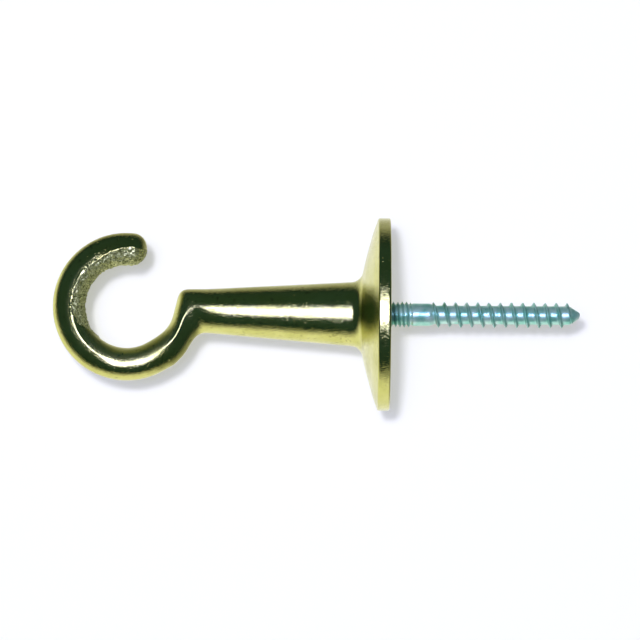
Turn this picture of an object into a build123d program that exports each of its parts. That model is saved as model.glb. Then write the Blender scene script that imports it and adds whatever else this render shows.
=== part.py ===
from build123d import *
import os
from math import cos, floor, radians, sin, tan

os.makedirs("parts", exist_ok=True)

# A cast brass hook for rope: an open ring of round bar on a tapered stem, with a flared rose
# that sits against the wall. A zinc-plated hanger screw, M6 thread at one end and wood thread
# at the other, is turned into the back of the rose.
# Frame: origin at the middle of the rose's wall face, +X into the wall along the screw,
# +Z up, and the ring bent in the XZ plane with its mouth upwards. Millimetres.

# Whole hook
reach = 78.5                 # wall face to the front of the ring
stem_rise = 0.5              # how far the stem's axis has climbed where it meets the elbow

# Rose
rose_diameter = 44.8
rim_thickness = 3.0
rim_edge_radius = 0.45
rose_crown_thickness = 6.45  # where the sloping face meets the flare from the stem
rose_belly = 0.22            # how far the sloping face swells past a straight cone
flare_radius = 2.9           # hollow curve from the stem into the sloping face
flare_turn = 75              # degrees that it turns through

# Stem
stem_root_radius = 7.45      # where the flare starts
stem_end_radius = 5.1        # at the elbow

# Ring
ring_inner_diameter = 19.2
bar_diameter = 7.6
ring_drop = 0.9              # ring centre above the stem's axis at the elbow
tip_angle = 84               # degrees round the ring from +X, where the bar ends
tip_dome = 3.3               # height of the domed end

# Elbow, where the bar turns into the stem. Its throat side faces the ring's opening, and its
# back side is the hollow corner under the stem.
elbow_start_angle = -60      # the bar is round and true to the ring up to here
elbow_slices = 24
back_lead = 2.2              # how much faster the sections' back side sets off than their throat
throat_setback = 1.1         # the straight throat's foot, behind the ring's inner circle
throat_foot_drop = 2.4       # and below the ring's centre
throat_pull = 3.0            # reach of the curve from the ring to the throat's foot
throat_lean = 14             # degrees from upright of the straight throat
shoulder_radius = 1.9
back_lean = 20               # degrees from upright where the hollow corner starts
back_pull = 4.4              # reach of the curve from the ring to the hollow corner
back_fillet = 3.5            # radius of the hollow corner
back_corner_setback = 1.35   # its sharp corner, ahead of the ring's back

# Hanger screw
thread_diameter = 6.0
machine_pitch = 1.0
machine_thread_depth = 0.6
machine_thread_out = 4.8     # machine thread left outside the wall face
grip_depth = 16.0            # machine thread turned into the casting
shank_reduction = 0.8        # the plain shank is this much under the thread's diameter
shank_end = 9.2
wood_pitch = 2.6
wood_thread_depth = 0.85
screw_length_out = 44.1      # wall face to the point
point_length = 3.4
wood_thread_start = 9.98     # a crest stands straight up here
machine_bury = 0.12          # how deep each ridge's root is sunk into its core
wood_bury = 0.85
trim = 0.05                  # the threads' limits stand this far off the plain sizes
crest_width = 0.15
flank_angle = 30
point_radius = 0.85
last_turn_short = 1.13        # the wood thread stops this far before the point

# Tapped hole, drawn plain at the thread's full diameter
bore_clearance = 0.06        # all round the screw
bore_extra_depth = 2.0
drill_point_angle = 118
bore_chamfer = 0.4

# Worked out from the sizes above
bar_radius = bar_diameter / 2
inner_radius = ring_inner_diameter / 2
outer_radius = inner_radius + bar_diameter
mid_radius = inner_radius + bar_radius
ring_x = -(reach - outer_radius)
ring_z = stem_rise + ring_drop
stem_top = stem_rise + stem_end_radius
stem_bottom = stem_rise - stem_end_radius
back_tangent = back_fillet * tan(radians(90 - back_lean) / 2)
back_corner_x = ring_x + outer_radius - back_corner_setback
stem_end_x = back_corner_x + back_tangent
thread_radius = thread_diameter / 2
machine_core_radius = thread_radius - machine_thread_depth
wood_core_radius = thread_radius - wood_thread_depth
shank_radius = (thread_diameter - shank_reduction) / 2
flare_start_x = -rose_crown_thickness - flare_radius * sin(radians(flare_turn))


def ring_point(angle, radius):
    """A point in the ring's plane, by its angle and its distance from the ring's centre."""
    return Vector(ring_x + radius * cos(radians(angle)), 0, ring_z + radius * sin(radians(angle)))


def section_plane(low, high):
    """A plane across the bar, through a point on its back and one on its throat side."""
    across = high - low
    return Plane(origin=(low + high) / 2, x_dir=across, z_dir=across.cross(Vector(0, 1, 0)))


# ---- Rose: a disc with a sloping front that flares out of the stem ----
rose_radius = rose_diameter / 2
crown_radius = stem_root_radius + flare_radius * (1 - cos(radians(flare_turn)))
belly_radius = (rose_radius + crown_radius) / 2
belly_thickness = (rim_thickness + rose_crown_thickness) / 2 + rose_belly

with BuildPart() as rose:
    with BuildSketch(Plane.XZ):
        with BuildLine():
            TangentArc(
                (flare_start_x, stem_root_radius), (-rose_crown_thickness, crown_radius), tangent=(1, 0)
            )
            ThreePointArc(
                (-rose_crown_thickness, crown_radius),
                (-belly_thickness, belly_radius),
                (-rim_thickness, rose_radius),
            )
            Polyline(
                (-rim_thickness, rose_radius),
                (0, rose_radius),
                (0, 0),
                (flare_start_x, 0),
                (flare_start_x, stem_root_radius),
            )
        make_face()
    revolve(axis=Axis.X)
    circles = rose.edges().filter_by(GeomType.CIRCLE)
    fillet(circles.filter_by(lambda edge: edge.radius > rose_radius - trim), rim_edge_radius)

# ---- Stem: a cone from the flare to the elbow ----
with BuildPart() as stem:
    with BuildSketch(Plane.YZ.offset(flare_start_x)):
        Circle(stem_root_radius)
    with BuildSketch(Plane(origin=(stem_end_x, 0, stem_rise), x_dir=(0, 1, 0), z_dir=(1, 0, 0))):
        Circle(stem_end_radius)
    loft()

# ---- Ring: round bar bent to an open ring ----
with BuildPart() as ring:
    with BuildLine(Plane.XZ) as ring_path:
        CenterArc((ring_x, ring_z), mid_radius, tip_angle, 360 + elbow_start_angle - tip_angle)
    tip_plane = section_plane(ring_point(tip_angle, outer_radius), ring_point(tip_angle, inner_radius))
    with BuildSketch(tip_plane):
        Circle(bar_radius)
    sweep(path=ring_path.line)

# ---- Tip: a shallow dome that closes the bar ----
tip_centre = ring_point(tip_angle, mid_radius)
tip_out = Vector(sin(radians(tip_angle)), 0, -cos(radians(tip_angle)))
dome_plane = Plane(origin=tip_centre, x_dir=tip_out, z_dir=(0, 1, 0))

with BuildPart() as tip:
    with BuildSketch(dome_plane):
        with BuildLine():
            dome_centre_x = (tip_dome**2 - bar_radius**2) / (2 * tip_dome)
            dome_radius = tip_dome - dome_centre_x
            RadiusArc((0, bar_radius), (tip_dome, 0), dome_radius)
            Polyline((tip_dome, 0), (0, 0), (0, bar_radius))
        make_face()
    revolve(axis=Axis(tip_centre, tip_out))

# ---- Elbow: oval sections that turn from the bar to the stem round the hollow corner ----
lean = Vector(sin(radians(throat_lean)), 0, cos(radians(throat_lean)))
back_lean_way = Vector(sin(radians(back_lean)), 0, cos(radians(back_lean)))
bar_way = Vector(-sin(radians(elbow_start_angle)), 0, cos(radians(elbow_start_angle)))
throat_foot = Vector(ring_x + inner_radius + throat_setback, 0, ring_z - throat_foot_drop)
shoulder_corner = throat_foot + lean * ((stem_top - throat_foot.Z) / lean.Z)
shoulder_tangent = shoulder_radius * tan(radians(90 - throat_lean) / 2)
shoulder_start = shoulder_corner - lean * shoulder_tangent
shoulder_end = shoulder_corner + Vector(shoulder_tangent, 0, 0)
back_corner = Vector(back_corner_x, 0, stem_bottom)
back_start = back_corner - back_lean_way * back_tangent

bar_throat = ring_point(elbow_start_angle, inner_radius)
bar_back = ring_point(elbow_start_angle, outer_radius)

with BuildLine() as throat_line:
    Bezier(bar_throat, bar_throat + bar_way * throat_pull, throat_foot - lean * throat_pull, throat_foot)
    Line(throat_foot, shoulder_start)
    TangentArc(shoulder_start, shoulder_end, tangent=lean)
    Line(shoulder_end, (stem_end_x, 0, stem_top))

with BuildLine() as back_line:
    Bezier(bar_back, bar_back + bar_way * back_pull, back_start - back_lean_way * back_pull, back_start)
    TangentArc(back_start, (stem_end_x, 0, stem_bottom), tangent=back_lean_way)

throat_wire = throat_line.wire()
back_wire = back_line.wire()

with BuildPart() as elbow:
    for slice_number in range(elbow_slices + 1):
        share = slice_number / elbow_slices
        throat = throat_wire @ share
        back = back_wire @ (1 - (1 - share) ** back_lead)
        half_width = bar_radius + (stem_end_radius - bar_radius) * share**3
        with BuildSketch(section_plane(back, throat)):
            Ellipse((throat - back).length / 2, half_width)
    loft(ruled=True)

# ---- Hook casting: the five shapes as one, with the tapped hole in its back ----
bore_radius = thread_radius + bore_clearance
bore_depth = grip_depth + bore_extra_depth
drill_point = bore_radius / tan(radians(drill_point_angle / 2))

with BuildPart() as bore:
    with BuildSketch(Plane.XZ):
        with BuildLine():
            Polyline(
                (0, 0),
                (0, bore_radius + bore_chamfer),
                (-bore_chamfer, bore_radius),
                (-bore_depth, bore_radius),
                (-bore_depth - drill_point, 0),
                (0, 0),
            )
        make_face()
    revolve(axis=Axis.X)

with BuildPart() as hook_casting:
    add(rose.part)
    add(stem.part)
    add(ring.part)
    add(tip.part)
    add(elbow.part)
    add(bore.part, mode=Mode.SUBTRACT)

hook_casting.part.label = "hook_casting"
export_step(hook_casting.part, "parts/hook_casting.step")


# ---- Hanger screw ----
def thread_ridge(start, turns, pitch, root_radius):
    """The raised ridge of a right-handed thread, with its root buried in the core."""
    crest_height = thread_radius - root_radius
    root_half_width = crest_width / 2 + crest_height * tan(radians(flank_angle))
    with BuildPart() as ridge:
        with BuildLine() as path:
            helix = Helix(pitch, pitch * turns, root_radius, center=(start, 0, 0), direction=(1, 0, 0))
        outward = (helix @ 0) - Vector(start, 0, 0)
        with BuildSketch(Plane(origin=helix @ 0, x_dir=outward, z_dir=helix % 0)):
            with BuildLine():
                Polyline(
                    (0, -root_half_width),
                    (crest_height, -crest_width / 2),
                    (crest_height, crest_width / 2),
                    (0, root_half_width),
                    (0, -root_half_width),
                )
            make_face()
        sweep(path=path.line, is_frenet=True)
    return ridge.part


machine_turns = floor((grip_depth + machine_thread_out - machine_pitch / 2) / machine_pitch)
machine_start = machine_thread_out - machine_turns * machine_pitch
machine_end = machine_thread_out + machine_pitch / 2
point_start = screw_length_out - point_length
wood_turns = floor((screw_length_out - last_turn_short - wood_thread_start) / wood_pitch)

with BuildPart() as thread_limit:
    with BuildSketch(Plane.XZ):
        with BuildLine():
            full_radius = thread_radius + trim
            shank_limit = shank_radius + trim
            Polyline(
                (-grip_depth, 0),
                (-grip_depth, machine_core_radius),
                (-grip_depth + machine_pitch, full_radius),
                (machine_end, full_radius),
                (machine_end, shank_limit),
                (wood_thread_start, shank_limit),
                (wood_thread_start + wood_pitch, full_radius),
                (point_start, full_radius),
                (screw_length_out, point_radius + trim),
                (screw_length_out, 0),
                (-grip_depth, 0),
            )
        make_face()
    revolve(axis=Axis.X)

with BuildPart() as hanger_screw:
    with BuildSketch(Plane.XZ):
        with BuildLine():
            Polyline(
                (-grip_depth, 0),
                (-grip_depth, machine_core_radius),
                (machine_end, machine_core_radius),
                (machine_end, shank_radius),
                (shank_end, shank_radius),
                (shank_end, wood_core_radius),
                (point_start, wood_core_radius),
                (screw_length_out, point_radius),
                (screw_length_out, 0),
                (-grip_depth, 0),
            )
        make_face()
    revolve(axis=Axis.X)
    add(thread_ridge(machine_start, machine_turns, machine_pitch, machine_core_radius - machine_bury))
    add(thread_ridge(wood_thread_start, wood_turns, wood_pitch, wood_core_radius - wood_bury))
    add(thread_limit.part, mode=Mode.INTERSECT)
hanger_screw.part.label = "hanger_screw"
export_step(hanger_screw.part, "parts/hanger_screw.step")
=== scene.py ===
from math import cos, exp, pi, radians, sin

import bmesh
import bpy
import numpy as np
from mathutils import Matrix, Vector


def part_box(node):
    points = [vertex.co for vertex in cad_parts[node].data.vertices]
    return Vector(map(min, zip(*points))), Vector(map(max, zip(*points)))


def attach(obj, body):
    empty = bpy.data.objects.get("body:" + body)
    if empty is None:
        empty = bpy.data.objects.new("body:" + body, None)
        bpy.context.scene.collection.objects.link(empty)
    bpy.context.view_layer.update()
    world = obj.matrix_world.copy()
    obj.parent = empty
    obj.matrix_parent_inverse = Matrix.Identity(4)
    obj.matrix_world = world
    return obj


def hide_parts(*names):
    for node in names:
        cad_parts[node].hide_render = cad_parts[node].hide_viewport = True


# A cast brass rope hook, polished outside and left as cast on the inside of its ring, with a
# zinc-plated hanger screw in its back. Sizes are in millimetres and turned into metres by MM.

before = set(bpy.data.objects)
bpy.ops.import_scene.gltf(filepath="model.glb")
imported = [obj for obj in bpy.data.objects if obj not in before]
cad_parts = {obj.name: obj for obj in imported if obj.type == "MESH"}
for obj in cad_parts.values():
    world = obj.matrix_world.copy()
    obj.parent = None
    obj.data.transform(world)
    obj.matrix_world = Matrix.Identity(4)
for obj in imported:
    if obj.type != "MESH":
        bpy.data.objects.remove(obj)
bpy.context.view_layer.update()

MM = 0.001
cast_low, cast_high = (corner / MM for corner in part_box("hook_casting"))
screw_low, screw_high = (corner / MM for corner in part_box("hanger_screw"))

# ---- Sizes ----

KEEP_CLEAR = 0.02                      # the finished skin stays this far inside the box
WALL_X = cast_high.x                   # the rose's flat back
ROSE_R = cast_high.z - KEEP_CLEAR
RIM_THICK = 2.95
RIM_EDGE = 0.5
CROWN_THICK = 6.45                     # rose thickness where the flare meets the sloping face
FLARE_R = 2.9
FLARE_TURN = radians(75)

STEM_ROOT_R = 7.45
STEM_END_R = 5.1
STEM_RISE = 0.5

BAR_R = 3.8
RING_R = 13.4                          # to the middle of the bar
RING_X = cast_low.x + RING_R + BAR_R + KEEP_CLEAR
RING_Z = 1.4
TIP_ANGLE = 84.0                       # degrees round the ring from +X
TIP_DOME = 3.3

ELBOW_ANGLE = -60.0                    # the bar is round up to here
THROAT_LEAN = 14.0
THROAT_PULL = 3.0
SHOULDER_R = 1.9
BACK_LEAN = 20.0
BACK_PULL = 4.4
BACK_FILLET = 3.5                      # radius of the hollow corner under the stem
BACK_LEAD = 2.2                        # how much sooner the sections' back side sets off
BACK_CORNER_SETBACK = 1.35
THROAT_SETBACK = 1.1
THROAT_FOOT_DROP = 2.4

BORE_R = 3.06
BORE_CHAMFER = 0.4
BORE_DEPTH = 18.0
DRILL_POINT = 1.8

BAR_CREST = 80.0                       # degrees from the throat side; the bar's front line
TIP_CREST_LEAN = 17.0                  # further out at the tip
BUFFED_DROP = 0.125                    # how much of the bar's radius the buffing took off
BUFFED_RUN = 0.33                      # radians round the bar over which it does
SKIN_TAPER = 84.0                      # degrees that the as-cast skin narrows to its end

AROUND = 144                           # points round the bar
CROWDING = 0.42                        # how much closer they stand on the throat side

# ---- Sizes of the hanger screw ----

SCREW_START = screw_low.x
SCREW_POINT = screw_high.x
THREAD_R = 3.0
MACHINE_PITCH, MACHINE_DEPTH = 1.0, 0.6
SHANK_R = 2.6
WOOD_PITCH, WOOD_DEPTH = 2.6, 0.85

# ---- Studio ----

BACKDROP_Y = 23.0
SHEET_TILT = 19.0                      # degrees; the pale part of the room leans forward below
SHEET_EDGE = 0.156
WINDOW_UP, WINDOW_LEFT = 4.0, 5.0
WINDOW_CORE, WINDOW_RIM, WINDOW_SKIRT = 5.5, 10.0, 26.0    # degrees out from its middle
WINDOW_LEVEL = 14.0
WINDOW_TINT = (1.0, 1.0, 2.0)
KEY_LEFT, KEY_UP = 0.07, 0.095
KEY_POWER = 16.0
CARD_LIFT = 0.48

# ---- Colours and helpers ----


def colour(code):
    """An sRGB hex colour as linear RGBA."""
    parts = [int(code[i : i + 2], 16) / 255 for i in (0, 2, 4)]
    return tuple(c / 12.92 if c <= 0.04045 else ((c + 0.055) / 1.055) ** 2.4 for c in parts) + (1.0,)


def add_node(tree, kind, inputs=None, **settings):
    """Adds one node, sets its properties, and fills or links its inputs by name or number."""
    node = tree.nodes.new(kind)
    for name, value in settings.items():
        setattr(node, name, value)
    for key, value in (inputs or {}).items():
        socket = node.inputs[key]
        if isinstance(value, bpy.types.NodeSocket):
            tree.links.new(value, socket)
        else:
            socket.default_value = value
    return node


def calc(tree, operation, *values, clamp=False):
    """One math node on numbers or sockets; gives back its result."""
    return add_node(
        tree, "ShaderNodeMath", dict(enumerate(values)), operation=operation, use_clamp=clamp
    ).outputs[0]


def mapped(tree, value, low, high, to_low=0.0, to_high=1.0, smooth=False):
    """A clamped map of one range on another."""
    node = add_node(
        tree, "ShaderNodeMapRange",
        {"Value": value, "From Min": low, "From Max": high, "To Min": to_low, "To Max": to_high},
        interpolation_type="SMOOTHSTEP" if smooth else "LINEAR",
    )
    return node.outputs[0]


def geometry_tree(name, inputs):
    """A node tree with a geometry in and out and the given named inputs."""
    tree = bpy.data.node_groups.new(name, "GeometryNodeTree")
    tree.interface.new_socket(name="Geometry", in_out="OUTPUT", socket_type="NodeSocketGeometry")
    tree.interface.new_socket(name="Geometry", in_out="INPUT", socket_type="NodeSocketGeometry")
    for label, kind in inputs.items():
        tree.interface.new_socket(name=label, in_out="INPUT", socket_type=kind)
    return tree, tree.nodes.new("NodeGroupInput").outputs


def end_tree(tree, geometry, material):
    """Ends a tree in real geometry that carries its material."""
    real = add_node(tree, "GeometryNodeRealizeInstances", {"Geometry": geometry})
    clad = add_node(tree, "GeometryNodeSetMaterial", {"Geometry": real.outputs[0], "Material": material})
    add_node(tree, "NodeGroupOutput", {0: clad.outputs[0]})


def made_by(tree, mesh, name, settings):
    """Runs a tree on a mesh and gives back a plain mesh object."""
    maker = bpy.data.objects.new(name + "_maker", mesh)
    bpy.context.scene.collection.objects.link(maker)
    modifier = maker.modifiers.new("form", "NODES")
    modifier.node_group = tree
    for item in tree.interface.items_tree:
        if item.in_out == "INPUT" and item.name in settings:
            modifier[item.identifier] = settings[item.name]
    bpy.context.view_layer.update()
    graph = bpy.context.evaluated_depsgraph_get()
    made = bpy.data.meshes.new_from_object(maker.evaluated_get(graph))
    made.name = name
    bpy.data.objects.remove(maker)
    piece = bpy.data.objects.new(name, made)
    bpy.context.scene.collection.objects.link(piece)
    return piece


def ease(low, high, value):
    """0 below low, 1 above high, and smooth between them."""
    share = min(max((value - low) / (high - low), 0.0), 1.0)
    return share * share * (3 - 2 * share)


def hump(value, centre, width):
    """A smooth hill of height 1."""
    return exp(-(((value - centre) / width) ** 2))


# ---- The casting's outline in the hook's plane ----


def ring_point(angle, radius):
    """A point in the ring's plane as (x, z)."""
    return Vector((RING_X + radius * cos(radians(angle)), RING_Z + radius * sin(radians(angle))))


def bezier(start, start_pull, end_pull, end, share):
    """A point on a cubic curve."""
    rest = 1 - share
    return (
        start * rest**3
        + start_pull * (3 * rest * rest * share)
        + end_pull * (3 * rest * share * share)
        + end * share**3
    )


def along(points, share):
    """The point at a share of the length of a run of points."""
    lengths = [0.0]
    for first, second in zip(points, points[1:]):
        lengths.append(lengths[-1] + (second - first).length)
    target = share * lengths[-1]
    for i in range(1, len(points)):
        if lengths[i] >= target:
            step = (target - lengths[i - 1]) / max(lengths[i] - lengths[i - 1], 1e-9)
            return points[i - 1].lerp(points[i], step)
    return points[-1].copy()


def arc(centre, radius, start, end, steps):
    """Points on an arc from one angle to another, in degrees."""
    angles = [radians(start + (end - start) * i / steps) for i in range(steps + 1)]
    return [centre + Vector((cos(a), sin(a))) * radius for a in angles]


def elbow_lines():
    """The elbow's throat side and back side, as runs of points from the bar to the stem."""
    top, bottom = STEM_RISE + STEM_END_R, STEM_RISE - STEM_END_R
    bar_way = Vector((-sin(radians(ELBOW_ANGLE)), cos(radians(ELBOW_ANGLE))))
    lean = Vector((sin(radians(THROAT_LEAN)), cos(radians(THROAT_LEAN))))
    back_way = Vector((sin(radians(BACK_LEAN)), cos(radians(BACK_LEAN))))

    back_tangent = BACK_FILLET * sin(radians(90 - BACK_LEAN)) / (1 + cos(radians(90 - BACK_LEAN)))
    back_corner = Vector((RING_X + RING_R + BAR_R - BACK_CORNER_SETBACK, bottom))
    stem_end = back_corner.x + back_tangent
    back_start = back_corner - back_way * back_tangent
    bar_back = ring_point(ELBOW_ANGLE, RING_R + BAR_R)
    back = [
        bezier(bar_back, bar_back + bar_way * BACK_PULL,
               back_start - back_way * BACK_PULL, back_start, i / 40)
        for i in range(40)
    ]
    back += arc(Vector((stem_end, bottom - BACK_FILLET)), BACK_FILLET, 180 - BACK_LEAN, 90, 24)

    foot = Vector((RING_X + RING_R - BAR_R + THROAT_SETBACK, RING_Z - THROAT_FOOT_DROP))
    corner = foot + lean * ((top - foot.y) / lean.y)
    tangent = SHOULDER_R * sin(radians(90 - THROAT_LEAN)) / (1 + cos(radians(90 - THROAT_LEAN)))
    shoulder_end = Vector((corner.x + tangent, top))
    bar_throat = ring_point(ELBOW_ANGLE, RING_R - BAR_R)
    throat = [
        bezier(bar_throat, bar_throat + bar_way * THROAT_PULL,
               foot - lean * THROAT_PULL, foot, i / 40)
        for i in range(40)
    ]
    throat += arc(shoulder_end - Vector((0, SHOULDER_R)), SHOULDER_R, 180 - THROAT_LEAN, 90, 16)
    throat.append(Vector((stem_end, top)))
    return throat, back, stem_end


def section(throat, back, half_width, ring_angle):
    """One oval section: middle, throat direction, half height, half width, place round the ring."""
    across = throat - back
    return (throat + back) / 2, across.normalized(), across.length / 2, half_width, ring_angle


def casting_sections():
    """Every section from the domed tip to the middle of the blind hole."""
    sections = []

    # The domed tip is a half ellipse turned about the end of the bar.
    tip_middle = ring_point(TIP_ANGLE, RING_R)
    tip_out = Vector((sin(radians(TIP_ANGLE)), -cos(radians(TIP_ANGLE))))
    tip_in = -Vector((cos(radians(TIP_ANGLE)), sin(radians(TIP_ANGLE))))
    dome_steps = 22
    for i in range(1, dome_steps):
        turn = pi / 2 * i / dome_steps
        middle = tip_middle + tip_out * (TIP_DOME * cos(turn))
        radius = BAR_R * sin(turn)
        sections.append((middle, tip_in, radius, radius, TIP_ANGLE))

    ring_steps = 400
    for i in range(ring_steps):
        angle = TIP_ANGLE + (360 + ELBOW_ANGLE - TIP_ANGLE) * i / ring_steps
        inner = RING_R - BAR_R
        outer = RING_R + BAR_R
        sections.append(section(ring_point(angle, inner), ring_point(angle, outer), BAR_R, angle))

    throat, back, stem_end = elbow_lines()
    elbow_steps = 90
    for i in range(elbow_steps):
        share = i / elbow_steps
        half_width = BAR_R + (STEM_END_R - BAR_R) * share**3
        back_share = 1 - (1 - share) ** BACK_LEAD
        ring_angle = 360 + ELBOW_ANGLE * (1 - share)
        sections.append(section(along(throat, share), along(back, back_share), half_width, ring_angle))

    stem_steps = 60
    root_x = -CROWN_THICK - FLARE_R * sin(FLARE_TURN)
    slope = (STEM_ROOT_R - STEM_END_R) / (root_x - stem_end)
    for i in range(stem_steps):
        x = stem_end + (root_x - stem_end) * i / stem_steps
        radius = STEM_END_R + slope * (x - stem_end)
        rise = STEM_RISE * (root_x - x) / (root_x - stem_end)
        sections.append((Vector((x, rise)), Vector((0, 1)), radius, radius, 400))

    for x, radius in rose_profile(root_x):
        sections.append((Vector((x, 0)), Vector((0, 1)), radius, radius, 400))
    return sections


def rose_profile(root_x):
    """The turned part of the casting as (x, radius): flare, face, rim, back and blind hole."""
    profile = []
    flare_steps = 26
    for i in range(flare_steps + 1):
        turn = FLARE_TURN * i / flare_steps
        profile.append((root_x + FLARE_R * sin(turn), STEM_ROOT_R + FLARE_R * (1 - cos(turn))))
    face_start_x, face_start_r = profile[-1]
    face_steps = 40
    edge_low_x, edge_low_r = -RIM_THICK - 0.02, ROSE_R - RIM_EDGE
    for i in range(1, face_steps):
        share = i / face_steps
        swell = 0.22 * sin(pi * share) + 0.1 * hump(share, 0.8, 0.18)
        x = face_start_x + (edge_low_x - face_start_x) * share - swell
        profile.append((x, face_start_r + (edge_low_r - face_start_r) * share))
    edge_steps = 8
    for i in range(edge_steps + 1):
        turn = radians(15 + 75 * i / edge_steps)
        profile.append((edge_low_x + RIM_EDGE * (1 - cos(turn)), edge_low_r + RIM_EDGE * sin(turn)))
    rim_start = profile[-1][0]
    for i in range(1, 8):
        profile.append((rim_start + (WALL_X - RIM_EDGE - rim_start) * i / 8, ROSE_R))
    for i in range(edge_steps + 1):
        turn = pi / 2 * i / edge_steps
        profile.append((WALL_X - RIM_EDGE * (1 - sin(turn)), ROSE_R - RIM_EDGE * (1 - cos(turn))))
    hole_mouth = BORE_R + BORE_CHAMFER
    for i in range(1, 13):
        profile.append((WALL_X, (ROSE_R - RIM_EDGE) + (hole_mouth - ROSE_R + RIM_EDGE) * i / 12))
    profile.append((WALL_X - BORE_CHAMFER, BORE_R))
    for i in range(1, 5):
        profile.append((WALL_X - BORE_CHAMFER - (BORE_DEPTH - BORE_CHAMFER) * i / 4, BORE_R))
    return profile


def from_throat(turn):
    """Angle from the bar's throat side, 0 to pi on either side."""
    return abs((turn + pi) % (2 * pi) - pi)


def bar_crest(ring_angle):
    """The front line of the bar, which leans outwards towards the tip."""
    return radians(BAR_CREST + TIP_CREST_LEAN * (1 - ease(TIP_ANGLE, 122, ring_angle)))


def skin_side(ring_angle, turn):
    """How far inside the as-cast skin a point lies, in mm round the bar; below 0 it is polished."""
    reach = bar_crest(ring_angle) - radians(SKIN_TAPER) * ease(184, 236, ring_angle)
    past_end = 6.0 * ease(225, 300, ring_angle)
    return BAR_R * (reach - from_throat(turn)) - past_end


def satin_share(ring_angle, turn):
    """The inner half of the bar, which the buffing wheel reaches less."""
    lower = ease(205, 250, ring_angle) * (1 - ease(300, 330, ring_angle))
    edge = radians(88 + 22 * lower)
    return (1 - ease(edge - radians(45), edge, from_throat(turn))) * (1 - ease(325, 355, ring_angle))


def buffed(ring_angle, turn):
    """How much of the radius is left where the wheel cut down the bar's outer front."""
    beyond = from_throat(turn) - bar_crest(ring_angle)
    if beyond <= 0:
        return 1.0
    share = 1 - ease(236, 262, ring_angle)
    share += 1.2 * ease(296, 312, ring_angle) * (1 - ease(350, 361, ring_angle))
    return 1 - share * BUFFED_DROP * (1 - exp(-beyond / BUFFED_RUN)) * (1 - ease(0.5, 1.7, beyond))


def skin(name, sections, first_pole, last_pole):
    """A closed mesh through the sections; its points know the as-cast skin and the satin side."""
    mesh = bpy.data.meshes.new(name)
    points, side, satin = [], [], []
    for middle, up, half_height, half_width, ring_angle in sections:
        for j in range(AROUND):
            even = 2 * pi * j / AROUND
            turn = even - CROWDING * sin(even)
            size = buffed(ring_angle, turn)
            in_plane = middle + up * (half_height * size * cos(turn))
            points.append((in_plane.x * MM, -half_width * size * sin(turn) * MM, in_plane.y * MM))
            side.append(skin_side(ring_angle, turn))
            satin.append(satin_share(ring_angle, turn))
    points = eased_elbow(points, sections)
    first, last = len(points), len(points) + 1
    points += [(first_pole.x * MM, 0, first_pole.y * MM), (last_pole.x * MM, 0, last_pole.y * MM)]
    side += [0.0, -9.0]
    satin += [0.5, 0.0]
    faces = []
    for i in range(len(sections) - 1):
        low, high = i * AROUND, (i + 1) * AROUND
        for j in range(AROUND):
            k = (j + 1) % AROUND
            faces.append((low + j, low + k, high + k, high + j))
    end = (len(sections) - 1) * AROUND
    for j in range(AROUND):
        k = (j + 1) % AROUND
        faces.append((first, k, j))
        faces.append((last, end + j, end + k))
    mesh.from_pydata(points, [], faces)
    mesh.attributes.new("skin_side", "FLOAT", "POINT").data.foreach_set("value", side)
    mesh.attributes.new("satin", "FLOAT", "POINT").data.foreach_set("value", satin)
    mesh.shade_smooth()
    mesh.update()
    return mesh


def eased_elbow(points, sections):
    """Evens out the run of the surface lengthways through the elbow, most on its hollow back."""
    grid = np.array(points).reshape(len(sections), AROUND, 3)
    angles = [item[4] for item in sections]
    start = next(i for i, angle in enumerate(angles) if angle > 306)
    end = next(i for i, angle in enumerate(angles) if angle > 360) + 12
    turns = [2 * pi * j / AROUND for j in range(AROUND)]
    turns = [turn - CROWDING * sin(turn) for turn in turns]
    back = np.array([ease(radians(50), radians(115), from_throat(turn)) for turn in turns])[None, :, None]
    for share, rounds in ((np.ones_like(back), 24), (back, 140)):
        for _ in range(rounds):
            middle = (grid[start - 1 : end - 1] + 2 * grid[start:end] + grid[start + 1 : end + 1]) / 4
            grid[start:end] += (middle - grid[start:end]) * share
    return [tuple(p) for p in grid.reshape(-1, 3)]


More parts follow.
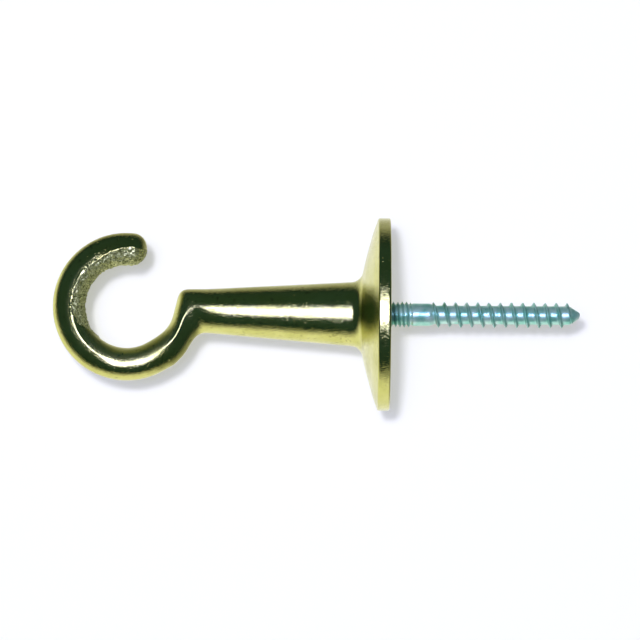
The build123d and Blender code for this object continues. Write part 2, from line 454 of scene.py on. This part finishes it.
def cast_skin_tree(material):
    """Raises the grain of the as-cast skin, its beaded edge, and the slight waves of the polish."""
    tree, given = geometry_tree(
        "cast_skin",
        {
            "Grain size": "NodeSocketFloat",
            "Grain depth": "NodeSocketFloat",
            "Bead height": "NodeSocketFloat",
            "Polish waves": "NodeSocketFloat",
        },
    )
    place = add_node(tree, "GeometryNodeInputPosition").outputs[0]
    side = add_node(
        tree, "GeometryNodeInputNamedAttribute", {"Name": "skin_side"}, data_type="FLOAT"
    ).outputs[0]

    def noise(size_mm, detail, shift):
        """Noise between about 0 and 1 with features of the given size."""
        moved = add_node(
            tree, "ShaderNodeVectorMath", {0: place, 1: (shift, shift, shift)}, operation="ADD"
        )
        scale = calc(tree, "DIVIDE", 1 / MM, size_mm)
        return add_node(
            tree, "ShaderNodeTexNoise",
            {"Vector": moved.outputs[0], "Scale": scale, "Detail": detail, "Roughness": 0.6},
        ).outputs[0]

    grain = noise(given["Grain size"], 2.0, 1.7)
    lumps = noise(calc(tree, "MULTIPLY", given["Grain size"], 3.2), 1.0, 4.1)
    wander = calc(tree, "MULTIPLY", calc(tree, "SUBTRACT", lumps, 0.5), 1.6)
    ragged = calc(tree, "ADD", side, wander)
    cast = mapped(tree, ragged, -0.1, 0.22, smooth=True)
    from_edge = calc(tree, "ABSOLUTE", calc(tree, "SUBTRACT", ragged, 0.12))
    bead = calc(tree, "SUBTRACT", 1.0, calc(tree, "MULTIPLY", from_edge, 2.6), clamp=True)
    bead = calc(tree, "MULTIPLY", bead, mapped(tree, grain, 0.35, 0.62, 0.25, 1.0))
    rough = calc(tree, "MULTIPLY", calc(tree, "SUBTRACT", grain, 0.55), given["Grain depth"])
    lump_depth = calc(tree, "MULTIPLY", given["Grain depth"], 0.7)
    coarse = calc(tree, "MULTIPLY", calc(tree, "SUBTRACT", lumps, 0.6), lump_depth)
    raised = calc(tree, "MULTIPLY", calc(tree, "ADD", rough, coarse), cast)
    raised = calc(tree, "ADD", raised, calc(tree, "MULTIPLY", bead, given["Bead height"]))
    wave = calc(tree, "SUBTRACT", noise(5.0, 1.0, 7.3), 0.5)
    slow = calc(tree, "MULTIPLY", wave, given["Polish waves"])
    raised = calc(tree, "ADD", raised, slow)
    amount = calc(tree, "MULTIPLY", raised, MM)
    normal = add_node(tree, "GeometryNodeInputNormal").outputs[0]
    offset = add_node(tree, "ShaderNodeVectorMath", {0: normal}, operation="SCALE")
    tree.links.new(amount, offset.inputs["Scale"])
    marked = add_node(
        tree, "GeometryNodeStoreNamedAttribute",
        {"Geometry": given["Geometry"], "Name": "cast", "Value": cast},
        data_type="FLOAT", domain="POINT",
    )
    moved = add_node(
        tree, "GeometryNodeSetPosition", {"Geometry": marked.outputs[0], "Offset": offset.outputs[0]}
    )
    end_tree(tree, moved.outputs[0], material)
    return tree


def new_material(name):
    """An empty node material and its shader and output."""
    material = bpy.data.materials.new(name)
    material.use_nodes = True
    tree = material.node_tree
    tree.nodes.clear()
    shader = tree.nodes.new("ShaderNodeBsdfPrincipled")
    add_node(tree, "ShaderNodeOutputMaterial", {"Surface": shader.outputs[0]})
    return material, tree, shader


def grain_noise(tree, place, size_mm, detail=2.0):
    """Noise with features of the given size in mm."""
    return add_node(
        tree, "ShaderNodeTexNoise", {"Vector": place, "Scale": 1 / (size_mm * MM), "Detail": detail}
    ).outputs[0]


def blended(tree, share, first, second):
    """A colour between two."""
    node = add_node(tree, "ShaderNodeMix", {"Factor": share}, data_type="RGBA")
    for number, value in ((6, first), (7, second)):
        if isinstance(value, bpy.types.NodeSocket):
            tree.links.new(value, node.inputs[number])
        else:
            node.inputs[number].default_value = value
    return node.outputs[2]


def brass():
    """Cast yellow brass, wheel-polished outside, satin on the inner side and grainy where as cast."""
    material, tree, shader = new_material("polished_cast_brass")
    place = add_node(tree, "ShaderNodeTexCoord").outputs["Object"]
    cast = add_node(tree, "ShaderNodeAttribute", attribute_name="cast").outputs["Fac"]
    satin = add_node(tree, "ShaderNodeAttribute", attribute_name="satin").outputs["Fac"]

    clouds = grain_noise(tree, place, 6.0, 3.0)
    fine = grain_noise(tree, place, 0.35, 3.0)
    specks = grain_noise(tree, place, 0.9, 4.0)
    tone = blended(tree, mapped(tree, clouds, 0.35, 0.7), colour("DCDA88"), colour("CECC72"))
    tone = blended(tree, mapped(tree, specks, 0.60, 0.72, 0.0, 0.5), tone, colour("8E8A4A"))
    skin_tone = blended(tree, mapped(tree, fine, 0.35, 0.65), colour("646C26"), colour("FBFDB0"))
    tone = blended(tree, cast, tone, skin_tone)
    tree.links.new(tone, shader.inputs["Base Color"])
    oxide = calc(tree, "MULTIPLY", cast, 0.22)
    tree.links.new(calc(tree, "SUBTRACT", 1.0, oxide), shader.inputs["Metallic"])

    wear = mapped(tree, clouds, 0.3, 0.75, 0.06, 0.12)
    wear = calc(tree, "ADD", wear, mapped(tree, fine, 0.35, 0.75, 0.0, 0.05))
    wear = calc(tree, "ADD", wear, calc(tree, "MULTIPLY", satin, 0.2))
    wear = calc(tree, "ADD", wear, calc(tree, "MULTIPLY", cast, 0.1))
    tree.links.new(wear, shader.inputs["Roughness"])

    # Sparse pinholes, each about 0.3 mm across, some way apart.
    cells = add_node(tree, "ShaderNodeTexVoronoi", {"Vector": place, "Scale": 1 / (1.7 * MM)})
    lot = add_node(tree, "ShaderNodeSeparateColor", {0: cells.outputs["Color"]}).outputs[0]
    chosen = calc(tree, "GREATER_THAN", lot, 0.62)
    dip = mapped(tree, cells.outputs["Distance"], 0.05, 0.13, 1.0, 0.0, smooth=True)
    hole = calc(tree, "MULTIPLY", dip, chosen)
    pinholes = add_node(tree, "ShaderNodeBump", {"Height": hole, "Distance": 0.07 * MM}, invert=True)

    # Wheel scratches, drawn out along the hook, and the grain that the polish left in the metal.
    scratch_way = add_node(tree, "ShaderNodeMapping", {"Vector": place, "Scale": (1.0, 6.0, 6.0)})
    scratches = grain_noise(tree, scratch_way.outputs[0], 0.9, 4.0)
    scratched = add_node(
        tree, "ShaderNodeBump",
        {"Height": scratches, "Distance": 0.05 * MM, "Normal": pinholes.outputs[0]},
    )
    grain_strength = mapped(tree, calc(tree, "ADD", satin, cast), 0.0, 1.4, 0.12, 1.0)
    grained = add_node(
        tree, "ShaderNodeBump",
        {
            "Height": fine, "Distance": 0.05 * MM, "Strength": grain_strength,
            "Normal": scratched.outputs[0],
        },
    )
    tree.links.new(grained.outputs[0], shader.inputs["Normal"])
    return material


sections = casting_sections()
tip_way = Vector((sin(radians(TIP_ANGLE)), -cos(radians(TIP_ANGLE))))
tip_pole = ring_point(TIP_ANGLE, RING_R) + tip_way * TIP_DOME
hole_pole = Vector((WALL_X - BORE_DEPTH - DRILL_POINT, 0))
hook_mesh = skin("hook_casting_outline", sections, tip_pole, hole_pole)
hook = made_by(
    cast_skin_tree(brass()), hook_mesh, "hook_casting_finished",
    {"Grain size": 0.6, "Grain depth": 0.8, "Bead height": 0.16, "Polish waves": 0.05},
)
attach(hook, "root")
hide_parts("hook_casting")


# ---- The hanger screw ----


def hanger_screw_tree(material):
    """Winds a flat strip round the screw's axis, one turn per pitch, and gives it its threads."""
    tree, given = geometry_tree(
        "hanger_screw",
        {
            "Turns": "NodeSocketInt",
            "Steps in a turn": "NodeSocketInt",
            "Steps in a pitch": "NodeSocketInt",
            "Thread radius": "NodeSocketFloat",
            "Machine core": "NodeSocketFloat",
            "Wood core": "NodeSocketFloat",
            "Shank radius": "NodeSocketFloat",
            "Nicks": "NodeSocketFloat",
        },
    )
    turns = given["Turns"]
    long_steps = calc(tree, "ADD", calc(tree, "MULTIPLY", turns, given["Steps in a turn"]), 1.0)
    cross_steps = calc(tree, "ADD", given["Steps in a pitch"], 1.0)
    strip = add_node(
        tree, "GeometryNodeMeshGrid",
        {"Size X": turns, "Size Y": 1.0, "Vertices X": long_steps, "Vertices Y": cross_steps},
    )
    flat = add_node(
        tree, "ShaderNodeSeparateXYZ", {0: add_node(tree, "GeometryNodeInputPosition").outputs[0]}
    )
    turn = calc(tree, "ADD", flat.outputs[0], calc(tree, "DIVIDE", turns, 2.0))
    across = flat.outputs[1]
    size_cubed = calc(tree, "POWER", calc(tree, "ABSOLUTE", across), 3.0)
    cubed = calc(tree, "MULTIPLY", size_cubed, calc(tree, "SIGN", across))
    near_crest = calc(tree, "MULTIPLY_ADD", across, 0.35, 0.5)
    place = calc(tree, "ADD", near_crest, calc(tree, "MULTIPLY", cubed, 2.6))
    wound = calc(tree, "ADD", turn, place)

    # Along the axis: machine thread, plain shank, wood thread, with a crest on top at every turn.
    first_turn, machine_turns, shank_turns = -17.7, 23.0, 2.0
    shank_run, wood_turns = 3.38, 15.0
    along_axis = calc(tree, "ADD", calc(tree, "MINIMUM", wound, machine_turns), first_turn)
    along_axis = calc(tree, "ADD", along_axis, mapped(
        tree, wound, machine_turns, machine_turns + shank_turns, 0.0, shank_run
    ))
    wood_from = machine_turns + shank_turns
    along_axis = calc(tree, "ADD", along_axis, mapped(
        tree, wound, wood_from, wood_from + wood_turns, 0.0, wood_turns * WOOD_PITCH
    ))
    x = calc(tree, "MINIMUM", calc(tree, "MAXIMUM", along_axis, SCREW_START), SCREW_POINT)

    to_end = calc(tree, "SUBTRACT", SCREW_POINT, x)
    point = calc(
        tree, "MULTIPLY", calc(tree, "MULTIPLY_ADD", to_end, 0.62, 0.62),
        calc(tree, "SQRT", mapped(tree, to_end, 0.0, 0.35)),
    )
    core = calc(
        tree, "MINIMUM",
        calc(tree, "MINIMUM",
             mapped(tree, x, 4.9, 5.3, given["Machine core"], given["Shank radius"]),
             mapped(tree, x, 9.2, 10.3, given["Shank radius"], given["Wood core"])),
        point,
    )
    crest = calc(
        tree, "MAXIMUM",
        mapped(tree, x, 4.6, 5.2, given["Thread radius"], 2.2),
        mapped(tree, x, 8.3, 10.0, 2.2, given["Thread radius"]),
    )
    crest = calc(tree, "MINIMUM", crest, calc(tree, "MULTIPLY_ADD", to_end, 0.8, 0.55))
    pitch = mapped(tree, x, 5.3, 8.2, MACHINE_PITCH, WOOD_PITCH)
    off_crest = calc(tree, "ABSOLUTE", calc(tree, "SUBTRACT", place, 0.5))
    from_crest = calc(tree, "MULTIPLY", off_crest, pitch)
    past_crest = calc(tree, "MAXIMUM", calc(tree, "SUBTRACT", from_crest, 0.05), 0.0)
    ridge = calc(tree, "SUBTRACT", crest, calc(tree, "MULTIPLY", past_crest, 1.73))

    # Small nicks and burrs of rolling and plating, larger on the crests than in the roots.
    angle = calc(tree, "MULTIPLY", turn, 2 * pi)
    sine, cosine = calc(tree, "SINE", angle), calc(tree, "COSINE", angle)
    where = add_node(tree, "ShaderNodeCombineXYZ", {0: x, 1: sine, 2: cosine})
    nick = calc(tree, "SUBTRACT", add_node(
        tree, "ShaderNodeTexNoise", {"Vector": where.outputs[0], "Scale": 1.3, "Detail": 2.0}
    ).outputs[0], 0.55)
    nick = calc(tree, "MULTIPLY", calc(tree, "MINIMUM", nick, 0.0), given["Nicks"])
    ridge = calc(tree, "ADD", ridge, nick)
    radius = calc(tree, "MAXIMUM", core, ridge)
    open_start = mapped(tree, wound, 1.2, 1.65)
    open_end = calc(tree, "LESS_THAN", along_axis, SCREW_POINT)
    radius = calc(tree, "MULTIPLY", calc(tree, "MULTIPLY", radius, open_start), open_end)

    y = calc(tree, "MULTIPLY", calc(tree, "MULTIPLY", radius, sine), -MM)
    z = calc(tree, "MULTIPLY", calc(tree, "MULTIPLY", radius, cosine), MM)
    wound_place = add_node(
        tree, "ShaderNodeCombineXYZ", {0: calc(tree, "MULTIPLY", x, MM), 1: y, 2: z}
    )
    height = mapped(tree, calc(tree, "SUBTRACT", radius, core), 0.0, 0.7)
    marked = add_node(
        tree, "GeometryNodeStoreNamedAttribute",
        {"Geometry": strip.outputs["Mesh"], "Name": "ridge", "Value": height},
        data_type="FLOAT", domain="POINT",
    )
    bent = add_node(
        tree, "GeometryNodeSetPosition",
        {"Geometry": marked.outputs[0], "Position": wound_place.outputs[0]},
    )
    joined = add_node(
        tree, "GeometryNodeMergeByDistance", {"Geometry": bent.outputs[0], "Distance": 0.002 * MM}
    )
    smooth = add_node(
        tree, "GeometryNodeSetShadeSmooth", {"Geometry": joined.outputs[0], "Shade Smooth": True}
    )
    end_tree(tree, smooth.outputs[0], material)
    return tree


def zinc():
    """Bright zinc plate: bluish and slightly cloudy, with painted shade darkening the thread's flanks so
    that the crests stand brighter.
    """
    material, tree, shader = new_material("bright_zinc_plate")
    place = add_node(tree, "ShaderNodeTexCoord").outputs["Object"]
    ridge = add_node(tree, "ShaderNodeAttribute", attribute_name="ridge").outputs["Fac"]
    clouds = grain_noise(tree, place, 2.2, 3.0)
    fine = grain_noise(tree, place, 0.25, 2.0)
    tone = blended(tree, mapped(tree, clouds, 0.35, 0.68), colour("96E0C8"), colour("DCFFF0"))
    # Painted shade: the thread's flanks are tinted dark teal, the crests keep only a fifth of it and the
    # roots none.
    below_crest = mapped(tree, ridge, 0.75, 1.0, 1.0, 0.2)
    painted_flank_shade = calc(tree, "MULTIPLY", mapped(tree, ridge, 0.1, 0.35), below_crest)
    tone = blended(tree, calc(tree, "MULTIPLY", painted_flank_shade, 0.5), tone, colour("3F8C82"))
    tree.links.new(tone, shader.inputs["Base Color"])
    shader.inputs["Metallic"].default_value = 0.72
    speckle = mapped(tree, fine, 0.3, 0.7, 0.0, 0.08)
    wear = calc(tree, "ADD", mapped(tree, clouds, 0.3, 0.7, 0.26, 0.38), speckle)
    tree.links.new(wear, shader.inputs["Roughness"])
    bump = add_node(tree, "ShaderNodeBump", {"Height": fine, "Distance": 0.03 * MM, "Strength": 0.5})
    tree.links.new(bump.outputs[0], shader.inputs["Normal"])
    return material


screw_seed_mesh = bpy.data.meshes.new("hanger_screw_seed")
screw = made_by(
    hanger_screw_tree(zinc()), screw_seed_mesh, "hanger_screw_threaded",
    {
        "Turns": 39, "Steps in a turn": 48, "Steps in a pitch": 18,
        "Thread radius": THREAD_R - 0.01,
        "Machine core": THREAD_R - MACHINE_DEPTH,
        "Wood core": THREAD_R - WOOD_DEPTH,
        "Shank radius": SHANK_R,
        "Nicks": 0.9,
    },
)
outward = bmesh.new()
outward.from_mesh(screw.data)
bmesh.ops.recalc_face_normals(outward, faces=outward.faces)
outward.to_mesh(screw.data)
outward.free()
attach(screw, "root")
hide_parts("hanger_screw")

# ---- Backdrop, light and camera ----


def studio():
    """White for the camera. For reflections, a pale sheet behind and below, a dark room in front
    and above, and one soft window close to the camera."""
    world = bpy.data.worlds.new("studio")
    bpy.context.scene.world = world
    world.use_nodes = True
    tree = world.node_tree
    tree.nodes.clear()
    out = add_node(tree, "ShaderNodeOutputWorld")
    way = add_node(tree, "ShaderNodeTexCoord").outputs["Generated"]

    parts = add_node(tree, "ShaderNodeSeparateXYZ", {0: way}).outputs
    sheet_way = (0.0, cos(radians(SHEET_TILT)), -sin(radians(SHEET_TILT)))
    facing = add_node(
        tree, "ShaderNodeVectorMath", {0: way, 1: sheet_way}, operation="DOT_PRODUCT"
    ).outputs["Value"]
    sheet = mapped(tree, facing, SHEET_EDGE - 0.02, SHEET_EDGE + 0.02)
    above = mapped(tree, parts[2], 0.25, 0.6, 1.0, 0.45)
    right = mapped(tree, parts[0], 0.2, 0.6, 1.0, 0.3)
    sheet_level = calc(tree, "MULTIPLY", calc(tree, "MULTIPLY", sheet, above), right)
    edge_dark = mapped(tree, facing, -0.35, SHEET_EDGE, 0.0, 0.8)
    room = blended(tree, edge_dark, colour("2B4042"), colour("0C1414"))
    seen = blended(tree, sheet_level, room, (1.0, 1.0, 0.98, 1.0))

    left, up = radians(WINDOW_LEFT), radians(WINDOW_UP)
    window_way = Vector((-sin(left), -cos(left) * cos(up), sin(up))).normalized()
    toward = add_node(
        tree, "ShaderNodeVectorMath", {0: way, 1: tuple(window_way)}, operation="DOT_PRODUCT"
    ).outputs["Value"]
    core = mapped(tree, toward, cos(radians(WINDOW_RIM)), cos(radians(WINDOW_CORE)), smooth=True)
    fade = mapped(tree, toward, cos(radians(WINDOW_SKIRT)), cos(radians(6)))
    skirt = calc(tree, "POWER", fade, 2.0)
    level = calc(tree, "MULTIPLY_ADD", core, WINDOW_LEVEL, calc(tree, "MULTIPLY", skirt, 0.5))
    lit = add_node(tree, "ShaderNodeVectorMath", {0: WINDOW_TINT}, operation="SCALE")
    tree.links.new(level, lit.inputs["Scale"])
    seen = add_node(
        tree, "ShaderNodeVectorMath", {0: seen, 1: lit.outputs["Vector"]}, operation="ADD"
    ).outputs["Vector"]

    rays = add_node(tree, "ShaderNodeLightPath")
    shown = add_node(tree, "ShaderNodeMix", data_type="RGBA")
    tree.links.new(rays.outputs["Is Camera Ray"], shown.inputs["Factor"])
    tree.links.new(seen, shown.inputs[6])
    shown.inputs[7].default_value = (1.0, 1.0, 1.0, 1.0)
    background = add_node(tree, "ShaderNodeBackground", {"Color": shown.outputs[2]})
    tree.links.new(background.outputs[0], out.inputs["Surface"])


def backdrop():
    """A white sheet just behind the rose, seen from the front only, that keeps the soft shadow."""
    size, behind = 900 * MM, BACKDROP_Y * MM
    corners = [(a * size, behind, b * size) for a, b in ((-1, -1), (1, -1), (1, 1), (-1, 1))]
    mesh = bpy.data.meshes.new("backdrop_sheet")
    mesh.from_pydata(corners, [], [(0, 1, 2, 3)])
    sheet = bpy.data.objects.new("backdrop_sheet", mesh)
    bpy.context.scene.collection.objects.link(sheet)
    material = bpy.data.materials.new("matt_white_card")
    material.use_nodes = True
    tree = material.node_tree
    tree.nodes.clear()
    out = add_node(tree, "ShaderNodeOutputMaterial")
    card = add_node(tree, "ShaderNodeBsdfDiffuse", {"Color": colour("BCBCBC")})
    lift = add_node(tree, "ShaderNodeEmission", {"Color": (1.0, 1.0, 0.9, 1.0)})
    rays = add_node(tree, "ShaderNodeLightPath")
    level = calc(tree, "MULTIPLY", rays.outputs["Is Camera Ray"], CARD_LIFT)
    tree.links.new(level, lift.inputs["Strength"])
    front = add_node(tree, "ShaderNodeAddShader", {0: card.outputs[0], 1: lift.outputs[0]})
    clear = add_node(tree, "ShaderNodeBsdfTransparent")
    side = add_node(tree, "ShaderNodeNewGeometry").outputs["Backfacing"]
    both = add_node(tree, "ShaderNodeMixShader", {0: side, 1: front.outputs[0], 2: clear.outputs[0]})
    tree.links.new(both.outputs[0], out.inputs["Surface"])
    mesh.materials.append(material)
    sheet.visible_glossy = False


def key_lamp():
    """A small soft lamp just above and left of the camera, which casts the short shadow."""
    data = bpy.data.lights.new("key_lamp", "AREA")
    data.shape = "DISK"
    distance = 1500 * MM
    data.size = distance * 0.07
    data.energy = KEY_POWER
    lamp = bpy.data.objects.new("key_lamp", data)
    way = Vector((-KEY_LEFT, -1.0, KEY_UP)).normalized()
    lamp.location = Vector((-20 * MM, 0, 0)) + way * distance
    lamp.rotation_euler = way.to_track_quat("Z", "Y").to_euler()
    lamp.visible_glossy = False
    bpy.context.scene.collection.objects.link(lamp)


def camera():
    """A long lens square to the hook, turned a hair so that the stem rises as it is hung."""
    data = bpy.data.cameras.new("camera")
    data.sensor_width = 36.0
    distance, frame_width = 1200.0, 148.8
    data.lens = data.sensor_width * distance / frame_width
    data.clip_start, data.clip_end = 0.05, 20.0
    item = bpy.data.objects.new("camera", data)
    item.location = (-16.3 * MM, -distance * MM, -1.4 * MM)
    item.rotation_euler = (pi / 2, radians(-0.4), 0)
    bpy.context.scene.collection.objects.link(item)
    bpy.context.scene.camera = item


backdrop()
key_lamp()
studio()
camera()
bpy.context.scene.view_settings.view_transform = "Standard"
